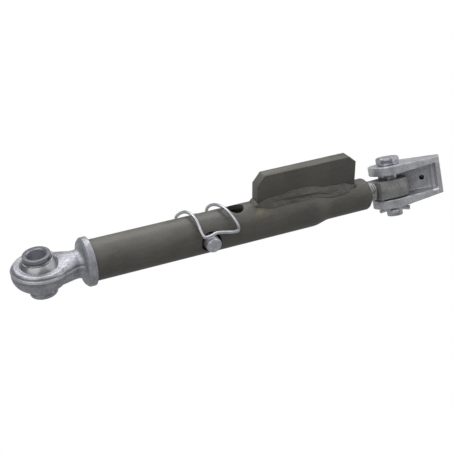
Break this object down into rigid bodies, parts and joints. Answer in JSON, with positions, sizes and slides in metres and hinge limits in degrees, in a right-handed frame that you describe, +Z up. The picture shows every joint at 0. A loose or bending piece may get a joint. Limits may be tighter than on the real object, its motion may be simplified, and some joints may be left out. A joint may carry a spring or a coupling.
{
  "type": "lower link stabilizer",
  "caption": "Telescopic farm linkage stabilizer: ball end, locking pin with wire bow, screw spindle and pinned clevis bracket.",
  "frame": {"origin": "centre of the swivel ball in the eye", "axes": "+X along the arm to the clevis, +Z up through the turning plate and along the empty close cross hole, -Y towards the lock pin's front end"},
  "size_m": [0.5705, 0.0786, 0.1034],
  "materials": {
    "painted_steel": "satin olive grey paint",
    "plated_forging": "dull blue-grey zinc over forged steel",
    "bright_zinc": "bright zinc",
    "polished_ball": "polished steel",
    "bare_forging": "warm grey forged steel"
  },
  "bodies": {
    "tube": {"outer_tube": "painted_steel", "turning_plate": "painted_steel", "weld_front": "painted_steel", "weld_rear": "painted_steel", "weld_near_end": "painted_steel", "weld_far_end": "painted_steel"},
    "ball_end": {"eye_forging": "plated_forging", "slide_bar": "plated_forging"},
    "ball": {"swivel_ball": "polished_ball"},
    "lock_pin": {"lock_pin": "plated_forging"},
    "bow": {"wire_bow": "bright_zinc"},
    "spindle": {"threaded_rod": "bright_zinc", "pivot_eye": "bare_forging"},
    "clevis": {"clevis_bracket": "plated_forging"},
    "clevis_pin": {"clevis_pin": "bright_zinc", "cotter_pin": "bright_zinc"}
  },
  "joints": [
    {"name": "telescope", "type": "slide", "parent": "tube", "child": "ball_end", "axis": [-1, 0, 0], "range_m": [0, 0.018]},
    {"name": "ball_tilt", "type": "hinge", "parent": "ball_end", "child": "ball", "pos_m": [0, 0, 0], "axis": [0, 1, 0], "range_deg": [-12, 22]},
    {"name": "pin_slide", "type": "slide", "parent": "tube", "child": "lock_pin", "axis": [0, 1, 0], "range_m": [0, 0.062]},
    {"name": "bow_swing", "type": "hinge", "parent": "lock_pin", "child": "bow", "pos_m": [0.1985, 0.03245, 0], "axis": [-1, 0, 0], "range_deg": [0, 110]},
    {"name": "spindle_travel", "type": "slide", "parent": "tube", "child": "spindle", "axis": [1, 0, 0], "range_m": [-0.008, 0.04]},
    {"name": "clevis_swing", "type": "hinge", "parent": "spindle", "child": "clevis", "pos_m": [0.461, 0, 0], "axis": [0, 0.3907, 0.9205], "range_deg": [-75, 45]},
    {"name": "clevis_pin_spin", "type": "hinge", "parent": "clevis", "child": "clevis_pin", "pos_m": [0.461, 0, 0], "axis": [0, 0.3907, 0.9205], "continuous": true}
  ],
  "couplings": [
    {"joint": "bow_swing", "follows": "pin_slide", "rad_per_m": 30.5}
  ]
}
